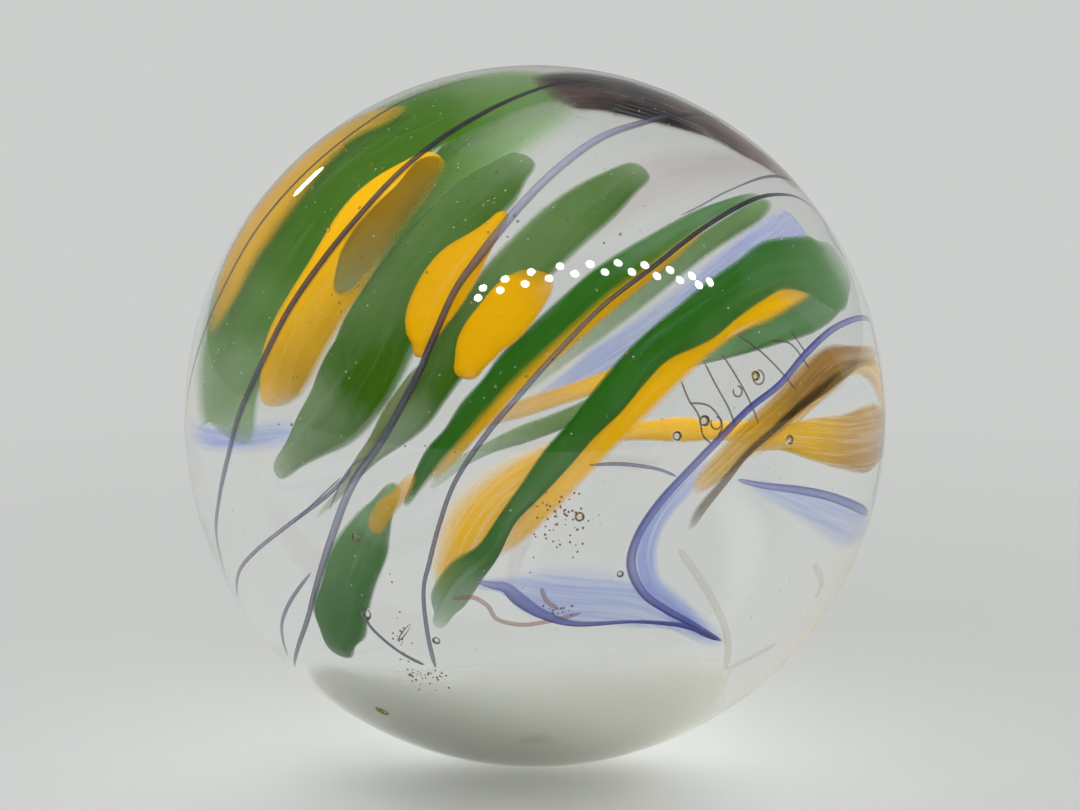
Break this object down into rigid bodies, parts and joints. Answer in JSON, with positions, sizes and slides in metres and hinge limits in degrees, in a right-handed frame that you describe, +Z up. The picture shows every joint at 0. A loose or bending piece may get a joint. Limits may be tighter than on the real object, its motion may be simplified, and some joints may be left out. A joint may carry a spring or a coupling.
{
  "type": "glass marble",
  "caption": "Clear glass ball with green, yellow, amber, violet, blue and smoke swirls and an opaque white gob fused inside.",
  "frame": {"origin": "centre of the ball", "axes": "+Z up and away from the point that the ball rests on, with the white gob low in the ball; -Y towards the show side, where the swirls lean up to the right; +X to that side's right"},
  "size_m": [0.032, 0.032, 0.032],
  "materials": {
    "clear_glass": "fire-polished clear glass with a few small bubbles",
    "green_glass": "dense green glass, paler at the edges",
    "yellow_glass": "opaque warm yellow glass",
    "violet_glass": "violet-black glass thread",
    "blue_glass": "translucent blue and lavender glass",
    "amber_glass": "translucent amber glass",
    "olive_glass": "translucent olive glass",
    "smoke_glass": "translucent grey-brown glass",
    "rose_glass": "faint rose-grey tint in clear glass",
    "pale_glass": "faint milky haze in clear glass",
    "white_glass": "opaque white glass"
  },
  "bodies": {
    "root": {"clear_glass": "clear_glass", "green_bands": "green_glass", "yellow_bands": "yellow_glass", "violet_threads": "violet_glass", "blue_veils": "blue_glass", "amber_hook": "amber_glass", "olive_bands": "olive_glass", "smoke_streaks": "smoke_glass", "rose_veils": "rose_glass", "pale_haze": "pale_glass", "white_base": "white_glass"}
  },
  "joints": []
}
